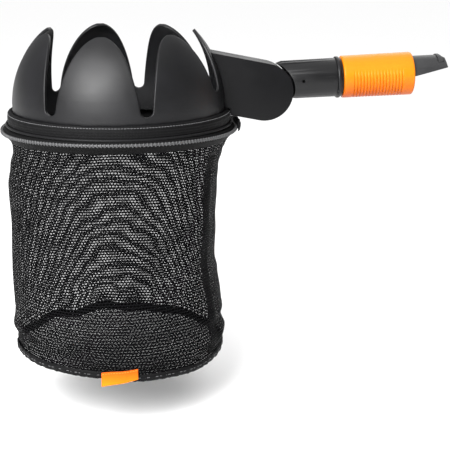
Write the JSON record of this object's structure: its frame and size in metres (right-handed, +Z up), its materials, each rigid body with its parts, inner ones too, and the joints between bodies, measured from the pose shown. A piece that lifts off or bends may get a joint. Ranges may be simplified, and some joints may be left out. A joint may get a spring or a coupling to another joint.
{
  "type": "fruit picker basket",
  "caption": "Pole-mounted fruit picker: slotted petal crown over a zipped mesh bag, on a tilting neck with a spigot and a sliding lock sleeve.",
  "frame": {"origin": "where the pole's end seats on the spigot, on the spigot's axis", "axes": "+X along the row from basket to pole (the spigot rises 2.2 degrees above it), +Z up through the basket's mouth, the basket hanging below on the -X side"},
  "size_m": [0.3657, 0.1932, 0.2698],
  "materials": {
    "crown_plastic": "matte black moulded polypropylene",
    "arm_plastic": "fine satin black moulded plastic",
    "neck_plastic": "satin black moulded plastic",
    "tongue_plastic": "matte dark grey glass-filled nylon",
    "spigot_plastic": "matte dark grey glass-filled nylon",
    "orange_plastic": "satin orange moulded plastic",
    "steel": "zinc-plated steel",
    "dark_steel": "black phosphated spring steel",
    "rubber": "matte black rubber",
    "webbing": "black woven polyester tape",
    "piping": "black corded piping",
    "zip_tape": "black woven zip tape",
    "coil_nylon": "grey nylon coil",
    "slider_metal": "black painted zinc",
    "net": "black polyester mesh",
    "label_cloth": "orange woven label, left blank"
  },
  "bodies": {
    "handle": {"neck_tube": "neck_plastic", "pivot_tongue": "tongue_plastic", "tongue_pin": "dark_steel", "neck_collar": "neck_plastic", "spigot": "spigot_plastic", "spigot_rivet": "dark_steel", "sleeve_seal": "rubber", "catch_spring": "steel"},
    "head": {"crown": "crown_plastic", "arm_front_half": "arm_plastic", "arm_rear_half": "arm_plastic", "arm_screws": "steel", "pivot_bolt": "steel", "pivot_nut": "steel", "pivot_washers": "steel", "hem_hoop": "steel", "hem_band": "webbing", "hem_piping": "piping", "upper_zip_tape": "zip_tape", "zip_coil": "coil_nylon", "lower_zip_tape": "zip_tape", "zip_end_patch": "webbing", "bag_wall": "net", "bag_side_seam": "webbing", "base_binding": "webbing", "bag_base": "net", "bag_label": "label_cloth"},
    "sleeve": {"lock_sleeve": "orange_plastic"},
    "catch": {"catch_button": "spigot_plastic"},
    "slider": {"zip_slider": "slider_metal"},
    "pull": {"zip_pull": "slider_metal"}
  },
  "joints": [
    {"name": "head_tilt", "type": "hinge", "parent": "handle", "child": "head", "pos_m": [-0.0825, 0, -0.0105], "axis": [0, 1, 0], "range_deg": [-90, 8]},
    {"name": "sleeve_slide", "type": "slide", "parent": "handle", "child": "sleeve", "axis": [0.9993, 0, 0.0384], "range_m": [0, 0.008]},
    {"name": "catch_press", "type": "slide", "parent": "handle", "child": "catch", "axis": [-0.0384, 0, 0.9993], "range_m": [-0.0018, 0], "stiffness_N_per_m": 500, "springref_m": 0.004, "deforming": ["catch_spring"]},
    {"name": "zip_run", "type": "hinge", "parent": "head", "child": "slider", "pos_m": [-0.2, 0, -0.039], "axis": [0, 0, 1], "range_deg": [0, 325]},
    {"name": "pull_swing", "type": "hinge", "parent": "slider", "child": "pull", "pos_m": [-0.1029, 0.0278, -0.039], "axis": [0, 0, 1], "range_deg": [-120, 0]}
  ]
}
